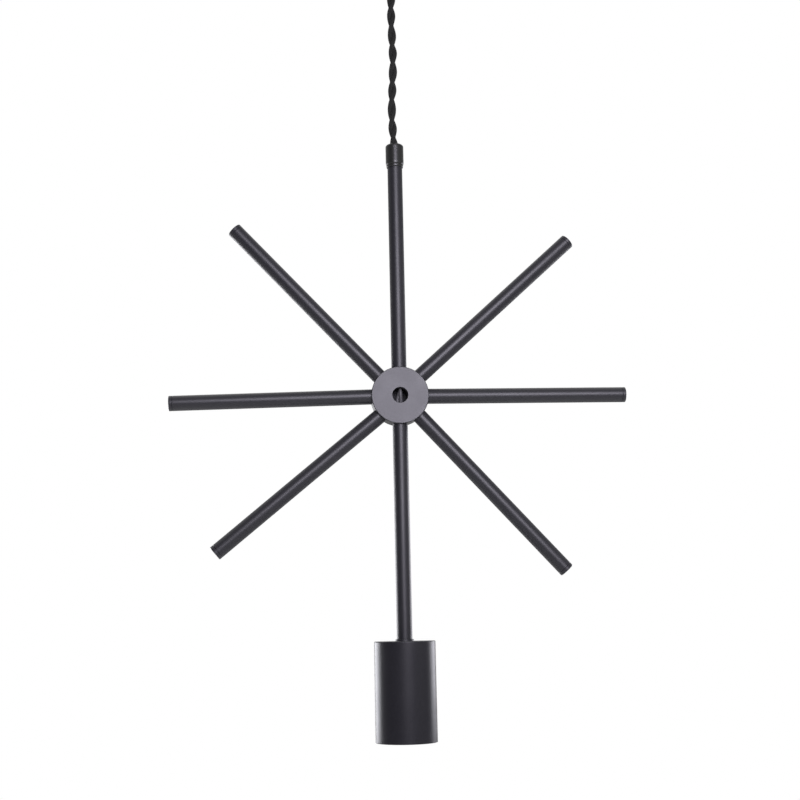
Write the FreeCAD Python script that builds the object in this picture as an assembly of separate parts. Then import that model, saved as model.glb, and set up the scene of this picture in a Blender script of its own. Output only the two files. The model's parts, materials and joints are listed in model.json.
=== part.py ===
import FreeCAD, Part
import math
import os
from FreeCAD import Placement, Rotation, Vector

# A pendant light: an eight-pointed star of tubes with a lamp cup under it, hung on a twisted cord.
# Lengths are in millimetres. The origin is on the ceiling, at the middle of the ceiling fitting.
# +Z is up, and the star's face looks towards -Y. Angles of the arms turn from +X towards +Z.

# Gaps that more than one piece shares
cut_overrun = 2.0
same_place = 1e-7         # two corners closer than this are one
fit_gap = 0.05            # round a piece that is screwed or pushed into another
running_gap = 0.3         # round a piece that moves in another
thread_radius = 5.0       # outside of the hollow threaded tube used all through
thread_bore_radius = 3.75

# Cord: two textile-covered cores twisted round each other, and the smooth flex inside the rods
core_diameter = 3.5
cord_diameter = 7.0
flex_core_diameter = 3.0
cord_showing = 157.5      # from the canopy grip's mouth to the gland's top
cord_swing_deg = 30.0     # how far the cord swings at the ceiling
lamp_tilt_deg = 18.0      # how far the lamp tilts on the cord's end
swing_spare_deg = 4.0     # what the flared mouths open beyond that

# Canopy and bracket
canopy_diameter = 100.0
canopy_height = 28.0
canopy_wall = 1.0
canopy_rounding = 4.0
canopy_rim_rounding = 0.3
canopy_screw_drop = 9.0   # from the ceiling to the side screws
bracket_width = 20.0
bracket_thickness = 1.5
bracket_bend = 2.5        # outer radius of the bends
bracket_ear = 14.0        # from the ceiling to the end of an ear
bracket_clearance = 0.6   # from an ear's corners to the canopy's wall
slot_spacing = 70.0
slot_length = 14.0
slot_width = 5.2
cable_hole_diameter = 11.0
cable_hole_place = 14.0   # from the middle, on the side away from the terminals
side_screw_diameter = 4.0
side_screw_length = 7.0
side_screw_head = 8.0
side_screw_head_height = 2.4
driver_slot_width = 1.0
driver_slot_depth = 1.0

# Canopy grip, under the canopy
grip_diameter = 14.0
grip_height = 14.0
grip_rounding = 1.2
grip_mouth_depth = 1.5    # from the mouth up to where the cord turns
grip_spigot = 7.0         # how far its thread goes up into the canopy
nut_flats = 14.0
nut_height = 3.0
nut_chamfer = 0.8
grip_screw_diameter = 3.0
grip_screw_drop = 6.0     # below the canopy

# Terminal block under the bracket
block_length = 13.0       # along X
block_width = 19.0
block_height = 12.0
block_rounding = 1.2
block_place = 18.5        # from the middle to the block's middle
pole_spacing = 11.0
barrel_diameter = 5.6
barrel_length = 11.0
barrel_bore = 3.7
terminal_screw_diameter = 2.6
terminal_screw_spacing = 5.6
terminal_screw_sink = 0.8 # how far the screws lie inside the block
block_screw_diameter = 3.0
block_screw_head = 5.4
block_screw_head_height = 1.8
tail_bend_height = 6.5    # how far up and along the cores turn from rising to level

# Rods and arms: one size of tube
rod_diameter = 12.7
rod_wall = 1.5
rod_reach = 200.0         # from the hub's middle to the end of a vertical rod
slant_arm_reach = 200.0   # from the hub's middle to the tip of a slanting arm
level_arm_reach = 191.5   # from the hub's middle to the tip of a level arm
tube_thread = 12.0        # how far a nipple goes into a tube
tube_chamfer = 0.25
arm_cap_head = 3.0
arm_cap_spigot = 8.0
arm_cap_rounding = 0.7

# Hub
hub_diameter = 48.0
hub_thickness = 17.5
hub_chamfer = 0.5
spot_face_depth = 1.0     # flat seat that each tube stands on, below the rim
spot_face_gap = 0.15
hub_thread = 8.0          # how far a nipple goes into the hub
hub_hole_diameter = 12.9
hub_hole_chamfer = 0.3
hub_back_wall = 3.0

# Gland on top of the upper rod
gland_diameter = 15.4
gland_cap_height = 18.2
gland_rounding = 2.0
gland_foot_inset = 0.45   # how far the lower end draws in
gland_foot_height = 1.15
gland_foot_rounding = 3.2
gland_chamfer = 0.2
gland_lip = 1.6           # wall over the bush
gland_thread = 9.0        # how far the nipple goes up into the cap
gland_pivot_depth = 1.0   # from the top down to where the cord turns
collar_diameter = 14.3
collar_height = 2.3
collar_rounding = 0.7     # at its lower edge
bush_radius = 4.8
bush_bore_radius = 2.4    # for the bare cores
bush_length = 6.0
gland_screw_diameter = 3.0
gland_screw_depth = 5.0   # below the gland's top

# Lamp cup
cup_diameter = 50.0
cup_height = 80.0
cup_wall = 1.2
cup_rounding = 0.8
cup_rim_rounding = 0.4
washer_diameter = 15.0
washer_thickness = 1.5
washer_rounding = 0.4

# Lampholder
holder_neck_diameter = 17.0
holder_neck = 6.0
holder_dome = 6.5         # height of the dome under the neck
holder_cap_diameter = 35.0
holder_cap_length = 36.5
holder_wall = 2.0
skirt_diameter = 39.0
skirt_overlap = 11.0      # how far the skirt goes up over the cap
skirt_length = 39.0
skirt_lip = 3.0
skirt_rounding = 1.2
skirt_mouth_clearance = 0.8    # how much wider than the lamp's thread the skirt's mouth is
shell_bore_radius = 13.3
shell_thread_length = 19.0
shell_collar_radius = 14.1 # inside of the wider part above the thread
shell_step = 0.8          # height of the slope between the two
shell_wall = 0.4
shell_flange_radius = 15.3
contact_block_height = 9.0
spring_pocket_radius = 4.2
pin_head_radius = 3.8
pin_head_height = 3.4
pin_head_rounding = 1.5
pin_stand = 1.6           # from the block's face to the head
pin_radius = 1.9
pin_clip_radius = 3.0
pin_clip_thickness = 0.6
pin_end = 0.8             # what shows of the pin above its clip
spring_wire = 0.6
spring_radius = 3.1       # to the middle of the wire
spring_turns = 5
strip_width = 5.0
strip_thickness = 0.6
strip_disc_radius = 5.0   # the live strip's round end, which the spring pushes on
terminal_place = 9.5      # from the middle to each terminal
terminal_width = 6.0
terminal_height = 6.0
terminal_hole = 3.5
holder_screw_diameter = 2.6
holder_screw_length = 4.0
core_into_terminal = 3.0
core_knee = 4.8           # from a terminal's top up to the end of the cores' slanting stretch
core_spread_run = 7.0     # height of that stretch

# Angles that the hub's holes are drilled at
upper_angle_deg = 90.0
lower_angle_deg = 270.0
arm_angles_deg = {
    "right": 0.0,
    "upper_right": 45.0,
    "upper_left": 135.0,
    "left": 180.0,
    "lower_left": 225.0,
    "lower_right": 315.0,
}
# How much each arm leans about its thread, as hand-fitted arms do
arm_leans_deg = {
    "right": 0.0,
    "upper_right": -2.9,
    "upper_left": -1.6,
    "left": 1.4,
    "lower_left": -5.6,
    "lower_right": -2.5,
}
arm_reaches = {
    "right": level_arm_reach,
    "upper_right": slant_arm_reach,
    "upper_left": slant_arm_reach,
    "left": level_arm_reach,
    "lower_left": slant_arm_reach,
    "lower_right": slant_arm_reach,
}

# Heights that follow from the stack of pieces, from the ceiling down
canopy_floor = -canopy_height
grip_bottom = canopy_floor - grip_height
ceiling_pivot = grip_bottom + grip_mouth_depth
gland_top = grip_bottom - cord_showing
lamp_pivot = gland_top - gland_pivot_depth
collar_top = gland_top - gland_cap_height
rod_top = collar_top - collar_height
hub_middle = rod_top - rod_reach
rod_bottom = hub_middle - rod_reach
cup_top = rod_bottom - washer_thickness
cup_bottom = cup_top - cup_height
holder_top = cup_top - cup_wall - nut_height
block_bottom = holder_top - holder_cap_length
block_top = block_bottom + contact_block_height
shoulder = block_bottom - shell_wall
skirt_top = block_bottom + skirt_overlap
skirt_bottom = skirt_top - skirt_length

# Share of a run that a bend takes at each of its ends, and of a first or last run
bend_share = 0.45
end_bend_share = 0.9

cord_radius = cord_diameter / 2
core_radius = core_diameter / 2
core_offset = core_radius + fit_gap
flex_radius = flex_core_diameter / 2
flex_offset = flex_radius + fit_gap
rod_radius = rod_diameter / 2
rod_bore = rod_radius - rod_wall
hub_radius = hub_diameter / 2
seat_radius = hub_radius - spot_face_depth
lean_radius = seat_radius - hub_thread / 2
gland_radius = gland_diameter / 2
cord_hole_radius = cord_radius + running_gap
z_axis = Vector(0, 0, 1)
middle = Vector(0, 0, 0)


def save(name, *solids):
    """Write a piece, or a group of equal pieces, as its own file."""
    shape = solids[0] if len(solids) == 1 else Part.makeCompound(list(solids))
    shape.exportStep(f"parts/{name}.step")


def outline(corners):
    """A closed wire through (radius, height) corners; a third number rounds that corner."""
    points = [Vector(c[0], 0, c[1]) for c in corners]
    rounds = [c[2] if len(c) > 2 else 0 for c in corners]
    starts, ends, arcs = [], [], []
    for i, point in enumerate(points):
        before = points[i - 1] - point
        after = points[(i + 1) % len(points)] - point
        half = before.getAngle(after) / 2
        if rounds[i] <= 0:
            starts.append(point)
            ends.append(point)
            arcs.append(None)
            continue
        back = rounds[i] / math.tan(half)
        start = point + before.normalize() * back
        end = point + after.normalize() * back
        inward = (before + after).normalize()
        top = point + inward * (rounds[i] / math.sin(half) - rounds[i])
        starts.append(start)
        ends.append(end)
        arcs.append(Part.Arc(start, top, end).toShape())
    edges = []
    for i in range(len(points)):
        if arcs[i]:
            edges.append(arcs[i])
        following = starts[(i + 1) % len(points)]
        if (following - ends[i]).Length > same_place:
            edges.append(Part.LineSegment(ends[i], following).toShape())
    return Part.Wire(edges)


def turned(corners):
    """A solid turned about Z from corners given as (radius, height) or (radius, height, rounding)."""
    return Part.Face(outline(corners)).revolve(middle, z_axis, 360)


def extruded(corners, width):
    """A solid with its outline in the XZ plane and an even thickness along Y, centred on it."""
    face = Part.Face(outline(corners))
    face.translate(Vector(0, -width / 2, 0))
    return face.extrude(Vector(0, width, 0))


def rod_along(start, end, radius):
    """A plain round bar from one point to another."""
    way = end - start
    return Part.makeCylinder(radius, way.Length, start, way)


def upright(radius, low, high, x=0, y=0):
    """A plain upright round bar between two heights."""
    return Part.makeCylinder(radius, high - low, Vector(x, y, low))


def hexagon(flats, low, height, bore):
    """A hex nut with chamfered corners and a plain bore."""
    reach = flats / math.sqrt(3)
    turns = [math.radians(60 * k) for k in range(6)]
    points = [Vector(reach * math.cos(a), reach * math.sin(a), low) for a in turns]
    nut = Part.Face(Part.makePolygon(points + points[:1])).extrude(Vector(0, 0, height))
    drop = nut_chamfer / 2
    guard = turned([
        (0, low),
        (reach - nut_chamfer, low),
        (reach + fit_gap, low + drop),
        (reach + fit_gap, low + height - drop),
        (reach - nut_chamfer, low + height),
        (0, low + height),
    ])
    return nut.common(guard).cut(upright(bore, low - cut_overrun, low + height + cut_overrun))


def nipple(low, high):
    """A hollow threaded tube between two heights on the Z axis."""
    return turned([
        (thread_bore_radius, low),
        (thread_radius - tube_chamfer, low),
        (thread_radius, low + tube_chamfer),
        (thread_radius, high - tube_chamfer),
        (thread_radius - tube_chamfer, high),
        (thread_bore_radius, high),
    ])


def tube(low, high):
    """A length of the rod's tube on the Z axis, widened at its threads."""
    return turned([
        (thread_radius + fit_gap, low),
        (rod_radius - tube_chamfer, low),
        (rod_radius, low + tube_chamfer),
        (rod_radius, high - tube_chamfer),
        (rod_radius - tube_chamfer, high),
        (thread_radius + fit_gap, high),
        (thread_radius + fit_gap, high - tube_thread),
        (rod_bore, high - tube_thread),
        (rod_bore, low + tube_thread),
        (thread_radius + fit_gap, low + tube_thread),
    ])


def round_run(points, radius, label):
    """A tube along straight runs that tangent arcs join, each as wide as its runs allow."""
    edges = []
    start = points[0]
    spared = 0
    for before, point, after in zip(points, points[1:], points[2:]):
        back, on = before - point, after - point
        turn = math.pi - back.getAngle(on)
        back_share = end_bend_share if before == points[0] else bend_share
        on_share = end_bend_share if after == points[-1] else bend_share
        trim = min(back_share * back.Length, on_share * on.Length)
        bend = trim / math.tan(turn / 2)
        print(f"{label}: bend radius {bend:.1f} mm, turn {math.degrees(turn):.0f} degrees")
        first = point + back.normalize() * trim
        last = point + on.normalize() * trim
        inward = (back + on).normalize()
        top = point + inward * (bend / math.cos(turn / 2) - bend)
        edges.append(Part.LineSegment(start, first).toShape())
        edges.append(Part.Arc(first, top, last).toShape())
        start = last
        spared += 2 * trim - bend * turn
    edges.append(Part.LineSegment(start, points[-1]).toShape())
    path = Part.Wire(edges)
    ring = Part.Wire(Part.makeCircle(radius, points[0], points[1] - points[0]))
    solid = path.makePipeShell([ring], True, False)
    length = sum((b - a).Length for a, b in zip(points, points[1:])) - spared
    share = solid.Volume / (math.pi * radius**2 * length)
    print(f"{label}: volume is {share:.4f} of section times length")
    return solid


def swing_seat(pivot, mouth, swing_deg):
    """The hollow that lets a round cord end turn about a pivot: a ball space and a flared mouth."""
    out = 1 if mouth > pivot else -1
    slope = math.radians(swing_deg + swing_spare_deg)
    ball = cord_hole_radius
    run = abs(mouth - pivot)
    cone_start = -ball * math.sin(slope)
    cone_radius = ball * math.cos(slope)
    over = run + cut_overrun
    flare = cone_radius + (over - cone_start) * math.tan(slope)
    cone = turned([
        (0, pivot + out * cone_start),
        (cone_radius, pivot + out * cone_start),
        (flare, pivot + out * over),
        (0, pivot + out * over),
    ])
    return cone.fuse(Part.makeSphere(ball, Vector(0, 0, pivot)))


def slotted_screw(head_radius, head_height, radius, length):
    """A screw along +X: its head stands behind x = 0, its shank in front of it."""
    head = Part.makeCylinder(head_radius, head_height, middle, Vector(-1, 0, 0))
    shank = Part.makeCylinder(radius, length, middle, Vector(1, 0, 0))
    wide = 2 * (head_radius + cut_overrun)
    deep = driver_slot_depth + cut_overrun
    corner = Vector(-head_height - cut_overrun, -wide / 2, -driver_slot_width / 2)
    return head.fuse(shank).cut(Part.makeBox(deep, wide, driver_slot_width, corner)).removeSplitter()


def grub_screw(radius, inner, outer, height):
    """A headless screw along +Y with a driver slot in its outer end."""
    body = rod_along(Vector(0, inner, height), Vector(0, outer, height), radius)
    wide = 2 * (radius + cut_overrun)
    corner = Vector(-wide / 2, outer - driver_slot_depth / 2, height - driver_slot_width / 4)
    return body.cut(Part.makeBox(wide, driver_slot_depth, driver_slot_width / 2, corner))


def at_hub(shape, angle_deg, lean_deg=0):
    """Take a piece made along +X from the hub's middle to its place in the star."""
    pivot = Vector(lean_radius, 0, 0)
    front = Vector(0, -1, 0)
    lean = Placement(middle, Rotation(front, lean_deg), pivot)
    turn = Placement(Vector(0, 0, hub_middle), Rotation(front, angle_deg))
    placed = shape.copy()
    placed.Placement = turn.multiply(lean).multiply(shape.Placement)
    return placed


def lying(shape):
    """Lay a piece that was turned about Z along +X."""
    laid = shape.copy()
    laid.rotate(middle, Vector(0, 1, 0), 90)
    return laid


def make_ceiling_fitting():
    """Bracket, canopy, side screws and terminal block."""
    inner = canopy_diameter / 2 - canopy_wall
    ear = math.sqrt(inner**2 - (bracket_width / 2) ** 2) - bracket_clearance
    inner_bend = bracket_bend - bracket_thickness
    bracket = extruded([
        (-ear, 0, bracket_bend),
        (ear, 0, bracket_bend),
        (ear, -bracket_ear),
        (ear - bracket_thickness, -bracket_ear),
        (ear - bracket_thickness, -bracket_thickness, inner_bend),
        (-ear + bracket_thickness, -bracket_thickness, inner_bend),
        (-ear + bracket_thickness, -bracket_ear),
        (-ear, -bracket_ear),
    ], bracket_width)
    low, high = -bracket_thickness - cut_overrun, cut_overrun
    half_run = (slot_length - slot_width) / 2
    for side in (-1, 1):
        slot_middle = side * slot_spacing / 2
        for x in (slot_middle - half_run, slot_middle + half_run):
            bracket = bracket.cut(upright(slot_width / 2, low, high, x))
        corner = Vector(slot_middle - half_run, -slot_width / 2, low)
        bracket = bracket.cut(Part.makeBox(2 * half_run, slot_width, high - low, corner))
    bracket = bracket.cut(upright(cable_hole_diameter / 2, low, high, -cable_hole_place))
    bracket = bracket.cut(upright(block_screw_diameter / 2 + fit_gap, low, high, block_place))

    rim = canopy_diameter / 2
    canopy = turned([
        (thread_radius + fit_gap, canopy_floor),
        (rim, canopy_floor, canopy_rounding),
        (rim, 0, canopy_rim_rounding),
        (inner, 0, canopy_rim_rounding),
        (inner, canopy_floor + canopy_wall, canopy_rounding - canopy_wall),
        (thread_radius + fit_gap, canopy_floor + canopy_wall),
    ])
    way_out = rim + cut_overrun
    drill = rod_along(Vector(-way_out, 0, -canopy_screw_drop), Vector(way_out, 0, -canopy_screw_drop),
                      side_screw_diameter / 2 + fit_gap)
    canopy = canopy.cut(drill)
    bracket = bracket.cut(drill)

    screw = slotted_screw(side_screw_head / 2, side_screw_head_height,
                          side_screw_diameter / 2, side_screw_length)
    screws = []
    for turn_deg in (0, 180):
        one = screw.copy()
        one.translate(Vector(-rim, 0, -canopy_screw_drop))
        one.rotate(middle, z_axis, turn_deg)
        screws.append(one)
    save("ceiling_bracket", bracket)
    save("canopy", canopy)
    save("canopy_screws", *screws)


def make_canopy_grip():
    """The cord grip under the canopy, its nut and its clamping screw."""
    spigot_top = canopy_floor + grip_spigot
    grip = turned([
        (0, grip_bottom),
        (grip_diameter / 2, grip_bottom, grip_rounding),
        (grip_diameter / 2, canopy_floor),
        (thread_radius, canopy_floor),
        (thread_radius, spigot_top - tube_chamfer),
        (thread_radius - tube_chamfer, spigot_top),
        (0, spigot_top),
    ])
    grip = grip.cut(upright(cord_hole_radius, ceiling_pivot, spigot_top + cut_overrun))
    grip = grip.cut(swing_seat(ceiling_pivot, grip_bottom, cord_swing_deg))
    height = canopy_floor - grip_screw_drop
    outer = grip_diameter / 2
    hole = rod_along(Vector(0, 0, height), Vector(0, outer + cut_overrun, height),
                     grip_screw_diameter / 2 + fit_gap)
    grip = grip.cut(hole)
    save("canopy_grip", grip)
    save("grip_nut", hexagon(nut_flats, canopy_floor + canopy_wall, nut_height,
                             thread_radius + fit_gap))
    inner = core_offset + core_radius + fit_gap
    save("grip_screw", grub_screw(grip_screw_diameter / 2, inner, outer, height))


def make_terminal_block():
    """The two-way block under the bracket, its barrels and screws, and the cord's tail to it."""
    top = -bracket_thickness
    low = top - block_height
    box = Part.makeBox(block_length, block_width, block_height,
                       Vector(block_place - block_length / 2, -block_width / 2, low))
    lower_edges = [e for e in box.Edges if e.BoundBox.ZMax < top - fit_gap]
    box = box.makeFillet(block_rounding, lower_edges)
    pole_height = top - block_height / 2
    face = block_place - block_length / 2
    barrels, screws = [], []
    for side in (-1, 1):
        y = side * pole_spacing / 2
        channel = rod_along(Vector(face - cut_overrun, y, pole_height),
                            Vector(face + block_length + cut_overrun, y, pole_height),
                            barrel_diameter / 2 + fit_gap)
        box = box.cut(channel)
        start = Vector(block_place - barrel_length / 2, y, pole_height)
        end = start + Vector(barrel_length, 0, 0)
        barrel = rod_along(start, end, barrel_diameter / 2)
        over = Vector(cut_overrun, 0, 0)
        barrel = barrel.cut(rod_along(start - over, end + over, barrel_bore / 2))
        for along in (-1, 1):
            x = block_place + along * terminal_screw_spacing / 2
            screw_top = pole_height - core_radius - fit_gap
            screw_low = low + terminal_screw_sink
            shaft = upright(terminal_screw_diameter / 2, screw_low, screw_top, x, y)
            wide = terminal_screw_diameter + 2 * cut_overrun
            corner = Vector(x - wide / 2, y - driver_slot_width / 4, screw_low - cut_overrun)
            slot = Part.makeBox(wide, driver_slot_width / 2,
                                cut_overrun + driver_slot_depth / 2, corner)
            screws.append(shaft.cut(slot))
            hole = upright(terminal_screw_diameter / 2 + fit_gap, low - cut_overrun, pole_height, x, y)
            box = box.cut(hole)
            barrel = barrel.cut(hole)
        barrels.append(barrel)
    screw_hole = upright(block_screw_diameter / 2 + fit_gap, low - cut_overrun, top + cut_overrun,
                         block_place)
    box = box.cut(screw_hole)
    head_top = low + block_screw_head_height
    box = box.cut(upright(block_screw_head / 2 + fit_gap, low - cut_overrun, head_top, block_place))
    head = upright(block_screw_head / 2, low, head_top, block_place)
    shank = upright(block_screw_diameter / 2, low, 0, block_place)
    wide = block_screw_head + 2 * cut_overrun
    corner = Vector(block_place - wide / 2, -driver_slot_width / 2, low - cut_overrun)
    cross = Part.makeBox(wide, driver_slot_width, cut_overrun + driver_slot_depth, corner)
    save("terminal_block", box)
    save("terminal_barrels", *barrels)
    save("terminal_screws", *screws)
    save("block_screw", head.fuse(shank).cut(cross).removeSplitter())

    tails = []
    tail_start = ceiling_pivot + cord_radius + running_gap
    for side in (-1, 1):
        y = side * core_offset
        spread = side * pole_spacing / 2
        tails.append(round_run([
            Vector(0, y, tail_start),
            Vector(0, y, pole_height - tail_bend_height),
            Vector(tail_bend_height, spread, pole_height),
            Vector(block_place, spread, pole_height),
        ], core_radius, "cord tail"))
    save("cord_tail", *tails)


def make_cord():
    """The free cord between its two bending points, with round ends that turn in their seats."""
    bar = upright(cord_radius, lamp_pivot, ceiling_pivot)
    for height in (lamp_pivot, ceiling_pivot):
        bar = bar.fuse(Part.makeSphere(cord_radius, Vector(0, 0, height)))
    bar = bar.removeSplitter()
    stretch = ceiling_pivot - lamp_pivot
    whole = math.pi * cord_radius**2 * (stretch + 4 * cord_radius / 3)
    print(f"suspension cord: straight, {stretch:.1f} mm between its ends,"
          f" volume {bar.Volume / whole:.4f} of what it should be")
    save("suspension_cord", bar)


def make_gland():
    """Cap, bush, grub screw and collar, from the top of the cord's end down to the rod."""
    bush_top = gland_top - gland_lip - running_gap
    bush_low = bush_top - bush_length
    thread_top = collar_top + gland_thread
    chamber = bush_radius + running_gap
    foot_radius = gland_radius - gland_foot_inset
    cap = turned([
        (thread_radius + fit_gap, collar_top),
        (foot_radius - gland_chamfer, collar_top),
        (foot_radius, collar_top + gland_chamfer),
        (gland_radius, collar_top + gland_foot_height, gland_foot_rounding),
        (gland_radius, gland_top, gland_rounding),
        (0, gland_top),
        (0, gland_top - gland_lip),
        (chamber, gland_top - gland_lip),
        (chamber, thread_top),
        (thread_radius + fit_gap, thread_top),
    ])
    cap = cap.cut(swing_seat(lamp_pivot, gland_top, lamp_tilt_deg))
    bush = turned([
        (bush_bore_radius, bush_low),
        (bush_radius, bush_low),
        (bush_radius, bush_top),
        (bush_bore_radius, bush_top),
    ])
    bush = bush.cut(Part.makeSphere(cord_hole_radius, Vector(0, 0, lamp_pivot)))
    height = gland_top - gland_screw_depth
    hole = rod_along(Vector(0, bush_radius, height), Vector(0, gland_radius + cut_overrun, height),
                     gland_screw_diameter / 2 + fit_gap)
    cap = cap.cut(hole)
    collar = turned([
        (thread_radius + fit_gap, rod_top),
        (collar_diameter / 2, rod_top, collar_rounding),
        (collar_diameter / 2, collar_top - gland_chamfer),
        (collar_diameter / 2 - gland_chamfer, collar_top),
        (thread_radius + fit_gap, collar_top),
    ])
    save("gland_cap", cap)
    save("gland_bush", bush)
    save("gland_screw", grub_screw(gland_screw_diameter / 2, bush_radius + running_gap,
                                   gland_radius, height))
    save("gland_collar", collar)
    save("gland_nipple", nipple(rod_top - tube_thread, thread_top))


def make_hub():
    """The hub with its eight threaded holes, its front hole, and the nipples in it."""
    half = hub_thickness / 2
    puck = turned([
        (0, -half),
        (hub_radius - hub_chamfer, -half),
        (hub_radius, -half + hub_chamfer),
        (hub_radius, half - hub_chamfer),
        (hub_radius - hub_chamfer, half),
        (0, half),
    ])
    mouth = hub_hole_diameter / 2
    over = half + cut_overrun
    hole = turned([
        (0, over),
        (mouth + hub_hole_chamfer + cut_overrun, over),
        (mouth, half - hub_hole_chamfer),
        (mouth, -half + hub_back_wall),
        (0, -half + hub_back_wall),
    ])
    hub = puck.cut(hole)
    hub.rotate(middle, Vector(1, 0, 0), 90)
    hub.translate(Vector(0, 0, hub_middle))

    way_out = hub_radius + cut_overrun
    seat = Part.makeCylinder(rod_radius + spot_face_gap, way_out - seat_radius,
                             Vector(seat_radius, 0, 0), Vector(1, 0, 0))
    thread_end = seat_radius - hub_thread
    thread = Part.makeCylinder(thread_radius + fit_gap, way_out - thread_end,
                               Vector(thread_end, 0, 0), Vector(1, 0, 0))
    passage = Part.makeCylinder(thread_bore_radius, thread_end + cut_overrun, middle, Vector(1, 0, 0))
    settings = [(angle, arm_leans_deg[side]) for side, angle in arm_angles_deg.items()]
    for angle, lean in settings + [(upper_angle_deg, 0), (lower_angle_deg, 0)]:
        hub = hub.cut(at_hub(seat.fuse(thread), angle, lean))
    for angle in (upper_angle_deg, lower_angle_deg):
        hub = hub.cut(at_hub(passage, angle))
    save("hub", hub)

    one = lying(nipple(thread_end, seat_radius + tube_thread))
    pieces = [at_hub(one, angle, lean) for angle, lean in settings]
    pieces += [at_hub(one, upper_angle_deg), at_hub(one, lower_angle_deg)]
    save("hub_nipples", *pieces)


def make_rods():
    """The two upright rods, and the six arms with their caps."""
    save("upper_rod", tube(hub_middle + seat_radius, rod_top))
    save("lower_rod", tube(rod_bottom, hub_middle - seat_radius))
    for side, angle in arm_angles_deg.items():
        lean, reach = arm_leans_deg[side], arm_reaches[side]
        end = reach - arm_cap_head
        arm = lying(turned([
            (thread_radius + fit_gap, seat_radius),
            (rod_radius - tube_chamfer, seat_radius),
            (rod_radius, seat_radius + tube_chamfer),
            (rod_radius, end - tube_chamfer),
            (rod_radius - tube_chamfer, end),
            (rod_bore, end),
            (rod_bore, seat_radius + tube_thread),
            (thread_radius + fit_gap, seat_radius + tube_thread),
        ]))
        spigot = rod_bore - fit_gap
        cap = lying(turned([
            (0, end - arm_cap_spigot),
            (spigot - tube_chamfer, end - arm_cap_spigot),
            (spigot, end - arm_cap_spigot + tube_chamfer),
            (spigot, end),
            (rod_radius - tube_chamfer, end),
            (rod_radius, end + tube_chamfer),
            (rod_radius, reach, arm_cap_rounding),
            (0, reach),
        ]))
        save(f"arm_{side}", at_hub(arm, angle, lean))
        save(f"arm_cap_{side}", at_hub(cap, angle, lean))


def make_cup():
    """The lamp cup with its washer, nut and nipple."""
    outer = cup_diameter / 2
    inner = outer - cup_wall
    cup = turned([
        (thread_radius + fit_gap, cup_top),
        (outer, cup_top, cup_rounding),
        (outer, cup_bottom, cup_rim_rounding),
        (inner, cup_bottom, cup_rim_rounding),
        (inner, cup_top - cup_wall, cup_rounding),
        (thread_radius + fit_gap, cup_top - cup_wall),
    ])
    washer = turned([
        (thread_radius + fit_gap, cup_top),
        (washer_diameter / 2, cup_top),
        (washer_diameter / 2, rod_bottom, washer_rounding),
        (thread_radius + fit_gap, rod_bottom),
    ])
    save("lamp_cup", cup)
    save("seat_washer", washer)
    save("cup_nut", hexagon(nut_flats, holder_top, nut_height, thread_radius + fit_gap))
    save("holder_nipple", nipple(holder_top - holder_neck, rod_bottom + tube_thread))


def make_holder_shells():
    """The insulating cap and skirt of the lampholder, and the threaded shell for the lamp."""
    neck = holder_neck_diameter / 2
    outer = holder_cap_diameter / 2
    inner = outer - holder_wall
    neck_low = holder_top - holder_neck
    dome_low = neck_low - holder_dome
    cap = turned([
        (thread_radius + fit_gap, holder_top),
        (neck, holder_top, tube_chamfer),
        (neck, neck_low, holder_wall),
        (outer, neck_low - holder_dome / 4, holder_dome / 2),
        (outer, block_bottom),
        (inner, block_bottom),
        (inner, dome_low, holder_dome / 2),
        (thread_radius + holder_wall, neck_low - holder_wall),
        (thread_radius + fit_gap, neck_low - holder_wall),
    ])
    skirt_outer = skirt_diameter / 2
    shell_outer = shell_bore_radius + shell_wall
    collar_outer = shell_collar_radius + shell_wall
    shell_low = skirt_bottom + skirt_lip
    mouth_radius = shell_bore_radius + skirt_mouth_clearance
    step_low = shell_low + shell_thread_length
    skirt = turned([
        (outer + fit_gap, skirt_top),
        (skirt_outer, skirt_top, skirt_rounding / 2),
        (skirt_outer, skirt_bottom, skirt_rounding),
        (mouth_radius, skirt_bottom, skirt_rounding),
        (mouth_radius, shell_low),
        (collar_outer + fit_gap, shell_low),
        (collar_outer + fit_gap, shoulder),
        (outer + fit_gap, shoulder),
    ])
    shell = turned([
        (shell_collar_radius, block_bottom),
        (shell_flange_radius, block_bottom),
        (shell_flange_radius, shoulder),
        (collar_outer, shoulder),
        (collar_outer, step_low + shell_step),
        (shell_outer, step_low),
        (shell_outer, shell_low),
        (shell_bore_radius, shell_low),
        (shell_bore_radius, step_low),
        (shell_collar_radius, step_low + shell_step),
    ])
    save("holder_cap", cap)
    save("holder_skirt", skirt)
    save("thread_shell", shell)


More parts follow.
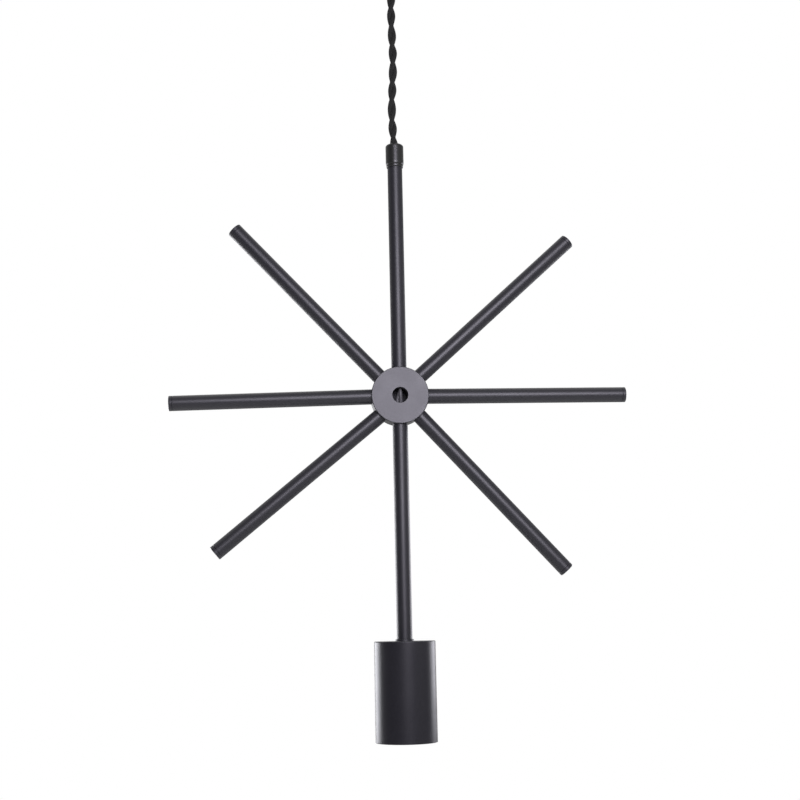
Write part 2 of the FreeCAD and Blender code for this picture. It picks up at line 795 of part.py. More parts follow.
def make_contacts():
    """The contact block with its sprung pin, strips, terminals and screws."""
    block_radius = holder_cap_diameter / 2 - holder_wall - fit_gap
    block = upright(block_radius, block_bottom, block_top)
    low, high = block_bottom - cut_overrun, block_top + cut_overrun
    block = block.cut(upright(spring_pocket_radius, low, high))
    edge = math.sqrt(block_radius**2 - (strip_width / 2) ** 2)
    corner = Vector(-block_radius - cut_overrun, -strip_width / 2 - fit_gap, low)
    notch = block_radius + cut_overrun - edge + strip_thickness + fit_gap
    block = block.cut(Part.makeBox(notch, strip_width + 2 * fit_gap, high - low, corner))
    save("contact_block", block)

    head_top = block_bottom - pin_stand
    head_low = head_top - pin_head_height
    clip_low = block_top + strip_thickness + fit_gap
    pin_top = clip_low + pin_clip_thickness + pin_end
    pin = turned([
        (0, head_low),
        (pin_head_radius, head_low, pin_head_rounding),
        (pin_head_radius, head_top),
        (pin_radius, head_top),
        (pin_radius, pin_top),
        (0, pin_top),
    ])
    clip = upright(pin_clip_radius, clip_low, clip_low + pin_clip_thickness)
    clip = clip.cut(upright(pin_radius + fit_gap, clip_low - cut_overrun, pin_top + cut_overrun))
    save("centre_pin", pin)
    save("pin_clip", clip)

    low = head_top + spring_wire / 2
    rise = block_top - spring_wire / 2 - low
    quarters = 4 * spring_turns
    def on_spring(share):
        angle = 2 * math.pi * spring_turns * share
        x, y = spring_radius * math.cos(angle), spring_radius * math.sin(angle)
        return Vector(x, y, low + rise * share)
    arcs = []
    for k in range(quarters):
        a, b, c = (on_spring((k + part) / quarters) for part in (0, 0.5, 1))
        arcs.append(Part.Arc(a, b, c).toShape())
    path = Part.Wire(arcs)
    first = arcs[0].Curve.tangent(arcs[0].FirstParameter)[0]
    ring = Part.Wire(Part.makeCircle(spring_wire / 2, on_spring(0), first))
    save("pin_spring", path.makePipeShell([ring], True, False))
    print(f"pin spring: least gap between turns {rise / spring_turns - spring_wire:.2f} mm")

    strip_top = block_top + strip_thickness
    hole = upright(pin_radius + running_gap, block_top - cut_overrun, strip_top + cut_overrun)
    end = terminal_place + terminal_width / 2
    tongue = Part.makeBox(end, strip_width, strip_thickness, Vector(0, -strip_width / 2, block_top))
    disc = upright(strip_disc_radius, block_top, strip_top)
    live = disc.fuse(tongue).removeSplitter().cut(hole)
    neutral = extruded([
        (-terminal_place + terminal_width / 2, block_top),
        (-terminal_place + terminal_width / 2, strip_top),
        (-edge, strip_top, strip_thickness),
        (-edge, block_bottom),
        (-edge + strip_thickness, block_bottom),
        (-edge + strip_thickness, block_top),
    ], strip_width)
    save("live_strip", live)
    save("neutral_strip", neutral)

    terminals, screws = [], []
    for side in (-1, 1):
        x = side * terminal_place
        body = Part.makeBox(terminal_width, terminal_width, terminal_height,
                            Vector(x - terminal_width / 2, -terminal_width / 2, strip_top))
        body = body.cut(upright(terminal_hole / 2, strip_top + strip_thickness,
                                strip_top + terminal_height + cut_overrun, x))
        height = strip_top + terminal_height / 2
        face = terminal_width / 2
        hole = rod_along(Vector(x, 0, height), Vector(x, -face - cut_overrun, height),
                         holder_screw_diameter / 2 + fit_gap)
        terminals.append(body.cut(hole))
        inner_end = flex_radius + fit_gap
        screw = rod_along(Vector(x, -inner_end, height),
                          Vector(x, -inner_end - holder_screw_length, height),
                          holder_screw_diameter / 2)
        wide = holder_screw_diameter + 2 * cut_overrun
        outer = inner_end + holder_screw_length
        corner = Vector(x - wide / 2, -outer - cut_overrun, height - driver_slot_width / 4)
        slot = Part.makeBox(wide, cut_overrun + driver_slot_depth / 2, driver_slot_width / 2, corner)
        screws.append(screw.cut(slot))
    save("holder_terminals", *terminals)
    save("holder_screws", *screws)

    cores = []
    core_top = gland_top - gland_lip - 2 * running_gap - bush_length
    core_end = strip_top + terminal_height - core_into_terminal
    knee = strip_top + terminal_height + core_knee
    for side in (-1, 1):
        cores.append(round_run([
            Vector(side * flex_offset, 0, core_top),
            Vector(side * flex_offset, 0, knee + core_spread_run),
            Vector(side * terminal_place, 0, knee),
            Vector(side * terminal_place, 0, core_end),
        ], flex_radius, "inner flex"))
    save("inner_flex", *cores)


os.makedirs("parts", exist_ok=True)
make_ceiling_fitting()
make_canopy_grip()
make_terminal_block()
make_cord()
make_gland()
make_hub()
make_rods()
make_cup()
make_holder_shells()
make_contacts()
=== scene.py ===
import json
import math

import bpy
import numpy as np
from mathutils import Matrix, Vector


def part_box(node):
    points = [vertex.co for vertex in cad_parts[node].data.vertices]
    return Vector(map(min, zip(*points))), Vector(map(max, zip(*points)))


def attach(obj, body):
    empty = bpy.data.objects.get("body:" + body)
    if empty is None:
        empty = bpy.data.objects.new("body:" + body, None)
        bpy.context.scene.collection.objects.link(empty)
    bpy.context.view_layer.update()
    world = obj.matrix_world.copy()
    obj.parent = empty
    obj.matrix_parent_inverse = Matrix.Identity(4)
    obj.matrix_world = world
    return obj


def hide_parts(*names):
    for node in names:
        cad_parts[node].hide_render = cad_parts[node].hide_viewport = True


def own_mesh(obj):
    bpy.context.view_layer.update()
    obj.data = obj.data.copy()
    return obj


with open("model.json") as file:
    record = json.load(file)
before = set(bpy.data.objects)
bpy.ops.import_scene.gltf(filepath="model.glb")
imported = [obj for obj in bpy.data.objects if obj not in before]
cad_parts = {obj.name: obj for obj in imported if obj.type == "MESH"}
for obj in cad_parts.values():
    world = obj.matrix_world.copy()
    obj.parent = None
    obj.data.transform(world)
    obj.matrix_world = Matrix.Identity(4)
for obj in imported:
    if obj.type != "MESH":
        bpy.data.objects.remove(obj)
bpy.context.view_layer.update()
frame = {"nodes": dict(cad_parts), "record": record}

# A black star of tubes with a lamp cup, hung on a twisted two-core textile cord.
# Lengths are in metres, in the same frame as the solids. The star's face looks towards -Y.
hub_middle = Vector((0.0, 0.0, -0.42))


# ---------------------------------------------------------------- camera

def set_camera():
    """The photograph's view: a little left of the star's face and below the hub, looking up."""
    standpoint = Vector((-0.07949, -1.09567, -0.61009))
    yaw, pitch, roll = (math.radians(angle) for angle in (4.165, 9.669, -1.203))
    data = bpy.data.cameras.new("view")
    data.lens = 59.903
    data.sensor_width = 36.0
    data.clip_start = 0.01
    data.clip_end = 100.0
    camera = bpy.data.objects.new("view", data)
    bpy.context.scene.collection.objects.link(camera)
    forward = Vector((math.sin(yaw), math.cos(yaw), 0.0))
    ahead = math.cos(pitch) * forward + Vector((0.0, 0.0, math.sin(pitch)))
    level = Vector((math.cos(yaw), -math.sin(yaw), 0.0))
    over = level.cross(ahead)
    right = math.cos(roll) * level + math.sin(roll) * over
    up = -math.sin(roll) * level + math.cos(roll) * over
    place = Matrix((right, up, -ahead)).transposed().to_4x4()
    place.translation = standpoint
    camera.matrix_world = place
    bpy.context.scene.camera = camera


set_camera()


# ---------------------------------------------------------------- shapes

def filled(points, corners):
    """Six times the volume between the origin and some faces, negative if they look inwards.

    It is the sum of the tetrahedra from the origin to each face's first three corners, and for a
    quad to its last three with the first as well.
    """
    a, b, c = (points[corners[:, k]] for k in range(3))
    total = np.sum(np.einsum("ij,ij->i", a, np.cross(b, c)))
    if corners.shape[1] == 4:
        d = points[corners[:, 3]]
        total += np.sum(np.einsum("ij,ij->i", a, np.cross(c, d)))
    return total


def into_piece(name, points, faces, uv=None):
    """A smooth mesh object from an array of points and a list of face arrays, facing outwards.

    A UV map is given as one array for each array of faces, with a pair for each corner.
    """
    if sum(filled(points, corners) for corners in faces) < 0:
        faces = [corners[:, ::-1] for corners in faces]
        uv = [part[:, ::-1] for part in uv] if uv else None
    mesh = bpy.data.meshes.new(name)
    mesh.from_pydata(points.tolist(), [], [face for part in faces for face in part.tolist()])
    mesh.polygons.foreach_set("use_smooth", np.ones(len(mesh.polygons), dtype=bool))
    if uv:
        layer = mesh.uv_layers.new(name="cover")
        layer.data.foreach_set("uv", np.concatenate([part.reshape(-1) for part in uv]))
    mesh.update()
    piece = bpy.data.objects.new(name, mesh)
    bpy.context.scene.collection.objects.link(piece)
    return piece


def grid_faces(rows, columns, close_rows, close_columns):
    """Corner numbers of a grid's quads, joined round in either direction if asked."""
    r = np.arange(rows if close_rows else rows - 1)
    c = np.arange(columns if close_columns else columns - 1)
    r, c = (a.reshape(-1) for a in np.meshgrid(r, c, indexing="ij"))
    r2, c2 = (r + 1) % rows, (c + 1) % columns
    corners = [r * columns + c, r2 * columns + c, r2 * columns + c2, r * columns + c2]
    return np.stack(corners, axis=1)


def round_angles(count):
    """Angles round a full turn, equally far apart."""
    return np.arange(count) * 2 * np.pi / count


def spline_points(route):
    """Points along the smooth curve that a cord's route points hold, from its NURBS spline."""
    curve = bpy.data.curves.new("route", "CURVE")
    curve.dimensions = "3D"
    curve.resolution_u = 48
    spline = curve.splines.new("NURBS")
    spline.points.add(len(route) - 1)
    weighted = np.column_stack([route, np.ones(len(route))])
    spline.points.foreach_set("co", weighted.reshape(-1))
    spline.order_u = 3
    spline.use_endpoint_u = True
    holder = bpy.data.objects.new("route", curve)
    bpy.context.scene.collection.objects.link(holder)
    bpy.context.view_layer.update()
    mesh = bpy.data.meshes.new_from_object(holder)
    read = np.empty(3 * len(mesh.vertices))
    mesh.vertices.foreach_get("co", read)
    bpy.data.meshes.remove(mesh)
    bpy.data.objects.remove(holder)
    bpy.data.curves.remove(curve)
    return read.reshape(-1, 3)


def length_along(points):
    """How far along a line each of its points lies."""
    steps = np.linalg.norm(np.diff(points, axis=0), axis=1)
    return np.concatenate([[0], np.cumsum(steps)])


def evenly(points, count):
    """The same line through a set number of points, equally far apart along it."""
    along = length_along(points)
    at = np.linspace(0, along[-1], count)
    return np.stack([np.interp(at, along, points[:, k]) for k in range(3)], axis=1)


braid_threads = 12          # round a core, each way
braid_lay = 9.0             # threads crossed in one girth of length
braid_edge = 0.3            # how a thread dips below the next: lower is steeper
braid_middle = 0.6          # the height that lies on the core's own radius
braid_depth = 0.00020
dome_angles = np.radians([80.0, 60.0, 35.0, 15.0])
dome_height = 0.7           # in radii


def braid_height(u, v):
    """How high a braid's threads stand, from 0 to 1, at u round a core and v girths along it.

    With a = sin(pi (threads u + lay v)) and b = sin(pi (threads u - lay v)), one set of threads
    lies on top where a b is positive, with the height |a| |b|^edge, and the other elsewhere, with
    |b| |a|^edge.
    """
    a = np.sin(np.pi * (braid_threads * u + braid_lay * v))
    b = np.sin(np.pi * (braid_threads * u - braid_lay * v))
    size_a, size_b = np.abs(a), np.abs(b)
    return np.where(a * b > 0, size_a * size_b ** braid_edge, size_b * size_a ** braid_edge)


def strand_faces(v, around):
    """One strand's quads and end fans, and the UV map of each.

    Its points are rings of so many points and then the first and the last pole, and v is how many
    girths along the strand each ring lies. Round the strand u is a share of the turn.
    """
    rings = len(v)
    quads = grid_faces(rings, around, False, True)
    row, column = np.divmod(quads[:, 0], around)
    quad_u = (column[:, None] + [0, 0, 1, 1]) / around
    quad_v = v[row[:, None] + [0, 1, 1, 0]]
    k = np.arange(around)
    k2 = (k + 1) % around
    first_pole, last_pole, last_ring = rings * around, rings * around + 1, (rings - 1) * around
    fans = np.concatenate([
        np.stack([np.full(around, first_pole), k, k2], axis=1),
        np.stack([np.full(around, last_pole), last_ring + k2, last_ring + k], axis=1),
    ])
    fan_u = np.concatenate([k[:, None] + [0, 0, 1], k[:, None] + [0, 1, 0]]) / around
    fan_v = np.repeat(v[[0, -1]], around)[:, None] * np.ones(3)
    return (quads, fans), (np.stack([quad_u, quad_v], axis=2), np.stack([fan_u, fan_v], axis=2))


def strands(name, lines, radius, around=20, sides=((0.0, 1.0, 0.0),), braided=False):
    """Round strands along centre lines, as one piece.

    A point of a strand is its centre line's point plus radius times (cos u * side + sin u * over),
    where side is a given direction made square to the line and over is square to both. A braided
    strand's radius is more by braid_depth * (braid_height - braid_middle). The ends are domed: at
    each angle w a ring of radius * cos w lies dome_height * radius * sin w beyond the line's end,
    and a pole closes it. The UV map holds u as a share of the turn, and the length along the strand
    in units of its girth.
    """
    girth = 2 * np.pi * radius
    turn = round_angles(around)
    points, faces, covers = [], [], []
    start = 0
    for line in lines:
        ahead = np.gradient(line, axis=0)
        ahead /= np.linalg.norm(ahead, axis=1)[:, None]
        side = np.asarray(sides) - np.sum(np.asarray(sides) * ahead, axis=1)[:, None] * ahead
        side /= np.linalg.norm(side, axis=1)[:, None]
        over = np.cross(ahead, side)
        dome = len(dome_angles)
        level = np.zeros(len(line))
        tilt = np.concatenate([-dome_angles, level, dome_angles[::-1]])
        pick = np.clip(np.arange(len(tilt)) - dome, 0, len(line) - 1)
        centre = line[pick] + dome_height * radius * np.sin(tilt)[:, None] * ahead[pick]
        v = length_along(centre) / girth
        reach = np.full((len(centre), around), radius)
        if braided:
            height = braid_height(turn[None, :] / (2 * np.pi), v[:, None])
            reach += braid_depth * (height - braid_middle)
        reach *= np.cos(tilt)[:, None]
        outward = (np.cos(turn)[None, :, None] * side[pick][:, None, :]
                   + np.sin(turn)[None, :, None] * over[pick][:, None, :])
        rings = centre[:, None, :] + reach[:, :, None] * outward
        poles = line[[0, -1]] + dome_height * radius * np.array([[-1.0], [1.0]]) * ahead[[0, -1]]
        points.append(np.concatenate([rings.reshape(-1, 3), poles]))
        (quads, fans), cover = strand_faces(v, around)
        faces.append((start + quads, start + fans))
        covers.append(cover)
        start += len(points[-1])
    return into_piece(name, np.concatenate(points),
                      [np.concatenate(part) for part in zip(*faces)],
                      [np.concatenate(part) for part in zip(*covers)])


def around_each_other(first, second, angle):
    """Two strands' centre lines turned about the line midway between them.

    The half difference of the two lines is turned about Z by an angle given for each point, and
    added to the midway line for one strand and taken from it for the other.
    """
    midway = (first + second) / 2
    x, y, z = ((first - second) / 2).T
    c, s = np.cos(angle), np.sin(angle)
    turned = np.stack([c * x - s * y, s * x + c * y, z], axis=1)
    return midway + turned, midway - turned


def eased(share):
    """A share held between 0 and 1 and given a soft start and end: 3 share^2 - 2 share^3."""
    share = np.clip(share, 0, 1)
    return share * share * (3 - 2 * share)


def turned_piece(name, radius, height):
    """A closed profile carried round Z: (radius cos a, radius sin a, height).

    The radius has a row for each point of the profile and a column for each angle a, and the
    height is one for each row.
    """
    angle = round_angles(radius.shape[1])
    height = np.broadcast_to(height, radius.shape)
    points = np.stack([radius * np.cos(angle), radius * np.sin(angle), height], axis=2)
    return into_piece(name, points.reshape(-1, 3), [grid_faces(*radius.shape, True, True)])


# ---------------------------------------------------------------- cords

core_radius = 0.0019        # with its braid
core_offset = 0.0017        # from the cord's middle to a core's, pressed together a little
half_pitch = 0.017228       # height in which the two cores change places
tail_radius = 0.00175       # where the terminals clamp it
tail_offset = 0.0018
barrel_offset = 0.0055      # from the terminal block's middle to a barrel's
flex_radius = 0.0015
flex_offset = 0.00155
terminal_offset = 0.0095    # from the lampholder's middle to a terminal's
cord_rings, flex_rings, tail_rings = 640, 560, 160
braid_points = 5 * braid_threads            # round a core


def hang_cord():
    """The free cord: two covered cores twisted round each other from canopy grip to gland.

    The cores' angle grows evenly with height, by half a turn in half_pitch, and a sine wave on it
    makes the twist waver a little, as a hand-twisted cord's does.
    """
    route = [(0, 0, -0.0405), (0, 0, -0.060), (-0.0005, 0, -0.080),
             (-0.0001, 0, -0.100), (0.0006, 0, -0.121), (-0.0003, 0, -0.141),
             (-0.0017, 0, -0.166), (-0.0011, 0, -0.188), (0, 0, -0.2005)]
    line = evenly(spline_points(route), cord_rings)
    height = line[:, 2]
    crossing, crossing_angle = -0.07217, math.radians(85.85)
    waver, waver_rate = 0.12, 170.0
    angle = crossing_angle + np.pi * (height - crossing) / half_pitch
    angle += waver * np.sin(height * waver_rate)
    offset = np.array([core_offset, 0, 0])
    pair = around_each_other(line + offset, line - offset, angle)
    cord = strands("twisted_cord", pair, core_radius, around=braid_points, braided=True)
    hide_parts("suspension_cord")
    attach(cord, "cord")
    return cord


def thread_flex():
    """The flex inside the rods: two smooth cores, twisted as far as the lampholder's neck.

    The half turns at each height are read between a few given ones and averaged over their
    neighbours. The cores part behind the hub's hole, where they also sag sideways a little, and
    reach the terminals in line with them.
    """
    routes = [[(side * flex_offset, 0, -0.2077), (side * flex_offset, 0, -0.6243),
               (side * flex_offset, 0, -0.6348), (side * terminal_offset, 0, -0.6418),
               (side * terminal_offset, 0, -0.6496)] for side in (-1, 1)]
    lines = [evenly(spline_points(route), flex_rings) for route in routes]
    height = lines[0][:, 2]
    turns = np.interp(height, [-0.70, -0.630, -0.437, -0.426, -0.4165, -0.405, -0.20],
                      [-12.0, -12.0, 0.0, -0.05, -0.44, -0.50, 12.70])
    neighbours = 9
    turns = np.convolve(np.pad(turns, neighbours // 2, mode="edge"),
                        np.ones(neighbours) / neighbours, mode="valid")
    sag = np.interp(height, [-0.50, -0.430, -0.416, -0.34], [0.0, -0.0011, 0.0003, 0.0])
    lean = sag[:, None] * np.array([1.0, 0.0, 0.0])
    pair = around_each_other(lines[0] + lean, lines[1] + lean, np.pi * turns)
    flex = strands("inner_cores", pair, flex_radius)
    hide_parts("inner_flex")
    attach(flex, "lamp")
    return flex


def part_tail():
    """The cord's two cores above the canopy grip, parted and led into the terminal block."""
    routes = [[(0, side * tail_offset, -0.0367), (0, side * tail_offset, -0.014),
               (0.0065, side * barrel_offset, -0.0075), (0.0185, side * barrel_offset, -0.0075)]
              for side in (-1, 1)]
    lines = [evenly(spline_points(route), tail_rings) for route in routes]
    tail = strands("parted_cores", lines, tail_radius, around=braid_points, braided=True)
    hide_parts("cord_tail")
    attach(tail, "ceiling")
    return tail


cord = hang_cord()
flex = thread_flex()
tail = part_tail()


# ---------------------------------------------------------------- lampholder

def roll_thread_shell():
    """The threaded shell: a thin sheet rolled to a round thread.

    Round the closed profile the height runs up the inside and down the outside. The bore's radius
    is less by half the depth times (1 + cos(2 pi height / pitch - angle)), eased to the plain bore
    near the collar and the lower edge, and the outer side stands one sheet outside it.
    """
    low, step_low, step_high, top = -0.6872, -0.6682, -0.6674, -0.6622
    bore, collar, flange, sheet = 0.0133, 0.0141, 0.0153, 0.0004
    pitch, depth, run_out = 0.00363, 0.00105, 0.0022
    rows, around = 84, 144
    below_top = top - 0.0006    # a ring here keeps the collar's shading even up to its end
    wall = np.linspace(low, step_low, rows)
    base = np.concatenate([
        np.full(rows, bore), [collar] * 3,
        [flange] * 2, [collar + sheet] * 2, np.full(rows, bore + sheet)])[:, None]
    height = np.concatenate([
        wall, [step_high, below_top, top],
        [top, top - sheet, top - sheet, step_high], wall[::-1]])[:, None]
    share = eased((height - low) / run_out) * eased((step_low - height) / run_out)
    wave = (1 + np.cos(2 * np.pi * height / pitch - round_angles(around))) / 2
    shell = turned_piece("rolled_shell", base - share * depth * wave, height)
    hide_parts("thread_shell")
    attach(shell, "lamp")
    return shell


def flute_skirt():
    """The lampholder's skirt with grip flutes down its outside.

    The closed profile is turned about Z, and the outer side's radius is less by half the flute
    depth times (1 - cos(flutes * angle)), faded in and out towards both ends.
    """
    outer, inner, land, mouth = 0.0195, 0.01755, 0.01455, 0.0141
    top, shoulder, low, lip = -0.6512, -0.6626, -0.6902, -0.6872
    flutes, depth, fade = 36, 0.0005, 0.003
    plain_low, plain_top = 0.0016, 0.0012       # the plain bands below and above the flutes
    rim, edge = 0.0006, 0.0012                  # radii of the upper and the lower rounding
    hair = 0.0001                               # a ring so near an edge keeps it crisp
    rows, around = 26, 432
    arc = np.radians(np.linspace(0, 90, 6))
    wall = np.linspace(top - rim - 3 * hair, low + edge + 2 * hair, rows)
    radius = np.concatenate([
        [land, land, inner, inner],
        [inner + hair, outer - rim - hair], outer - rim + rim * np.sin(arc),
        np.full(rows, outer),
        outer - edge + edge * np.cos(arc), [outer - edge - 2 * hair, mouth + edge + 2 * hair],
        mouth + edge - edge * np.sin(arc), [mouth, mouth, land - hair]])[:, None]
    height = np.concatenate([
        [lip, shoulder, shoulder, top - hair],
        [top, top], top - rim + rim * np.cos(arc),
        wall,
        low + edge - edge * np.sin(arc), [low, low],
        low + edge - edge * np.cos(arc), [low + edge + 2 * hair, lip - hair, lip]])[:, None]
    share = eased((height - low - plain_low) / fade) * eased((top - plain_top - height) / fade)
    share = share * (radius > outer - hair)
    wave = (1 - np.cos(flutes * round_angles(around))) / 2
    skirt = turned_piece("fluted_skirt", radius - share * depth * wave, height)
    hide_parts("holder_skirt")
    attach(skirt, "lamp")
    return skirt


def wind_spring():
    """The centre contact's spring: a round wire wound between the pin's head and the live strip.

    The wire's middle runs at (reach cos a, reach sin a), and its height grows evenly with a.
    """
    low, high = (corner[2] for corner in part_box("pin_spring"))
    wire, reach, gap = 0.0003, 0.0031, 0.00002
    turns, steps_a_turn = 5, 60
    share = np.linspace(0, 1, steps_a_turn * turns + 1)
    angle = 2 * np.pi * turns * share
    outward = np.stack([np.cos(angle), np.sin(angle), 0 * angle], axis=1)
    line = reach * outward
    line[:, 2] = low + wire + gap + share * (high - low - 2 * (wire + gap))
    spring = strands("wound_spring", [line], wire, around=12, sides=outward)
    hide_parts("pin_spring")
    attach(spring, "lamp")
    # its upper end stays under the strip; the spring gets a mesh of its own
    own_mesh(spring)
    return spring


shell = roll_thread_shell()
skirt = flute_skirt()
spring = wind_spring()


# ---------------------------------------------------------------- nodes of a finish

def new_finish(name, base, metallic, roughness):
    """A material, its nodes and its shader."""
    material = bpy.data.materials.new(name)
    material.use_nodes = True
    tree = material.node_tree
    shader = tree.nodes["Principled BSDF"]
    shader.inputs["Base Color"].default_value = (*base, 1.0)
    shader.inputs["Metallic"].default_value = metallic
    shader.inputs["Roughness"].default_value = roughness
    return material, tree, shader


def object_place(tree):
    """The place of each point in the piece's own coordinates, which are the frame's."""
    return tree.nodes.new("ShaderNodeTexCoord").outputs["Object"]


def axis_parts(tree, vector):
    """A vector's parts by axis."""
    node = tree.nodes.new("ShaderNodeSeparateXYZ")
    tree.links.new(vector, node.inputs["Vector"])
    return node.outputs


def noise(tree, waves, detail, stretch=None):
    """A noise of so many waves a metre, or so many times a number for each axis."""
    source = object_place(tree)
    if stretch:
        mapping = tree.nodes.new("ShaderNodeMapping")
        mapping.inputs["Scale"].default_value = stretch
        tree.links.new(source, mapping.inputs["Vector"])
        source = mapping.outputs["Vector"]
    texture = tree.nodes.new("ShaderNodeTexNoise")
    texture.inputs["Scale"].default_value = waves
    texture.inputs["Detail"].default_value = detail
    tree.links.new(source, texture.inputs["Vector"])
    return texture.outputs["Fac"]


def calc(tree, operation, *values):
    """The result of one math node, of numbers or of other nodes' outputs."""
    node = tree.nodes.new("ShaderNodeMath")
    node.operation = operation
    for socket, value in zip(node.inputs, values):
        if isinstance(value, (int, float)):
            socket.default_value = value
        else:
            tree.links.new(value, socket)
    return node.outputs["Value"]


def spread(tree, value, low, high, start=0.3, end=0.7):
    """A value's range from start to end spread to run from low to high, and held beyond them."""
    node = tree.nodes.new("ShaderNodeMapRange")
    for key, number in (("From Min", start), ("From Max", end), ("To Min", low), ("To Max", high)):
        node.inputs[key].default_value = number
    tree.links.new(value, node.inputs["Value"])
    return node.outputs["Result"]


def tint(tree, value, dark, light, start=0.3, end=0.7):
    """A colour between two, as a value goes from start to end."""
    ramp = tree.nodes.new("ShaderNodeValToRGB")
    for element, position, colour in zip(ramp.color_ramp.elements, (start, end), (dark, light)):
        element.position = position
        element.color = (*colour, 1.0)
    tree.links.new(value, ramp.inputs["Fac"])
    return ramp.outputs["Color"]


def raised(tree, shader, value, height):
    """A fine relief of so many metres on the surface."""
    bump = tree.nodes.new("ShaderNodeBump")
    bump.inputs["Distance"].default_value = height
    tree.links.new(value, bump.inputs["Height"])
    tree.links.new(bump.outputs["Normal"], shader.inputs["Normal"])


# ---------------------------------------------------------------- finishes

def powder_coat(name, tone, roughness, relief, shine, bore=None):
    """Satin black powder coat: an even orange-peel grain, a little uneven in tone and in sheen.

    A bore along Y, given by its middle's x and z and its radius, is left dull inside.
    """
    grain_waves, cloud_waves = 750.0, 45.0
    tone_change, sheen_change, bore_roughness = 0.12, 0.02, 0.75
    material, tree, shader = new_finish(name, tone, 0.0, roughness)
    shader.inputs["Specular IOR Level"].default_value = shine
    grain = noise(tree, grain_waves, detail=3.0)
    cloud = noise(tree, cloud_waves, detail=4.0)
    raised(tree, shader, grain, relief)
    sheen = spread(tree, cloud, roughness - sheen_change, roughness + sheen_change)
    if bore:
        middle_x, middle_z, radius = bore
        place = axis_parts(tree, object_place(tree))
        off_x = calc(tree, "SUBTRACT", place["X"], middle_x)
        off_z = calc(tree, "SUBTRACT", place["Z"], middle_z)
        squared = calc(tree, "ADD", calc(tree, "MULTIPLY", off_x, off_x),
                       calc(tree, "MULTIPLY", off_z, off_z))
        inside = calc(tree, "LESS_THAN", squared, radius * radius)
        sheen = calc(tree, "MAXIMUM", sheen, calc(tree, "MULTIPLY", inside, bore_roughness))
    tree.links.new(sheen, shader.inputs["Roughness"])
    dark, light = ([share * c for c in tone] for share in (1 - tone_change, 1 + tone_change))
    tree.links.new(tint(tree, grain, dark, light), shader.inputs["Base Color"])
    return material


def plain_metal(name, dark, light, rough_low, rough_high, line_waves, relief):
    """A metal surface with fine drawn lines, a mottled tone and an uneven polish."""
    mottle_waves, line_length = 260.0, 12        # a line is so many times as long as it is wide
    material, tree, shader = new_finish(name, light, 1.0, rough_low)
    mottle = noise(tree, mottle_waves, detail=4.0)
    stretch = (line_waves, line_waves, line_waves / line_length)
    lines = noise(tree, 1.0, detail=2.0, stretch=stretch)
    tree.links.new(tint(tree, mottle, dark, light), shader.inputs["Base Color"])
    tree.links.new(spread(tree, mottle, rough_low, rough_high), shader.inputs["Roughness"])
    raised(tree, shader, lines, relief)
    return material


def moulded(name, dark, light, roughness, relief, waves):
    """A moulded insulator with a fine matt or glazed skin."""
    smoother, rougher = roughness - 0.03, roughness + 0.05
    material, tree, shader = new_finish(name, light, 0.0, roughness)
    skin = noise(tree, waves, detail=3.0)
    tree.links.new(tint(tree, skin, dark, light), shader.inputs["Base Color"])
    tree.links.new(spread(tree, skin, smoother, rougher), shader.inputs["Roughness"])
    raised(tree, shader, skin, relief)
    return material


def braid():
    """Black braided textile: braid_height's threads, with painted shade between them and a crisper
    edge.
    """
    # the gap colour is painted shade: the threads' own colour darkened where they dip apart
    painted_gap_shade, thread, relief = (0.0118, 0.0121, 0.0112), (0.0300, 0.0308, 0.0287), 0.00008
    material, tree, shader = new_finish("black_braid", thread, 0.0, 0.8)
    shader.inputs["Specular IOR Level"].default_value = 0.15
    shader.inputs["Sheen Weight"].default_value = 0.03
    shader.inputs["Sheen Roughness"].default_value = 0.5
    cover = tree.nodes.new("ShaderNodeUVMap")
    cover.uv_map = "cover"
    uv = axis_parts(tree, cover.outputs["UV"])
    round_it = calc(tree, "MULTIPLY", uv["X"], braid_threads * math.pi)
    along_it = calc(tree, "MULTIPLY", uv["Y"], braid_lay * math.pi)
    a = calc(tree, "SINE", calc(tree, "ADD", round_it, along_it))
    b = calc(tree, "SINE", calc(tree, "SUBTRACT", round_it, along_it))
    size_a, size_b = (calc(tree, "ABSOLUTE", wave) for wave in (a, b))
    on_top = calc(tree, "GREATER_THAN", calc(tree, "MULTIPLY", a, b), 0.0)
    under = calc(tree, "SUBTRACT", 1.0, on_top)
    thread_a = calc(tree, "MULTIPLY", size_a, calc(tree, "POWER", size_b, braid_edge))
    thread_b = calc(tree, "MULTIPLY", size_b, calc(tree, "POWER", size_a, braid_edge))
    weave = calc(tree, "ADD", calc(tree, "MULTIPLY", thread_a, on_top),
                 calc(tree, "MULTIPLY", thread_b, under))
    raised(tree, shader, weave, relief)
    # painted shade: the colour darkens from the threads' own towards the gaps between them
    tree.links.new(tint(tree, weave, painted_gap_shade, thread), shader.inputs["Base Color"])
    return material


finishes = {
    "black_coat": powder_coat(
        "satin_black_coat", (0.0140, 0.0136, 0.0182), roughness=0.42, relief=0.00001, shine=0.60),
    "zinc_steel": plain_metal(
        "dull_zinc", (0.44, 0.45, 0.48), (0.60, 0.61, 0.64),
        rough_low=0.32, rough_high=0.48, line_waves=4000.0, relief=0.000012),
    "brass_metal": plain_metal(
        "plain_brass", (0.62, 0.45, 0.20), (0.80, 0.62, 0.31),
        rough_low=0.24, rough_high=0.38, line_waves=4000.0, relief=0.00001),
    "nickel_shell": plain_metal(
        "nickel_sheet", (0.58, 0.56, 0.52), (0.72, 0.70, 0.66),
        rough_low=0.18, rough_high=0.30, line_waves=3000.0, relief=0.000008),
    "black_insulator": moulded(
        "black_moulding", (0.018, 0.018, 0.020), (0.028, 0.028, 0.030),
        roughness=0.5, relief=0.00003, waves=1400.0),
    "white_insulator": moulded(
        "white_glaze", (0.80, 0.79, 0.75), (0.87, 0.86, 0.83),
        roughness=0.14, relief=0.00001, waves=300.0),
    "cord_cover": braid(),
    "core_sheath": moulded(
        "black_sheath", (0.100, 0.098, 0.104), (0.120, 0.118, 0.124),
        roughness=0.44, relief=0.00001, waves=900.0),
}
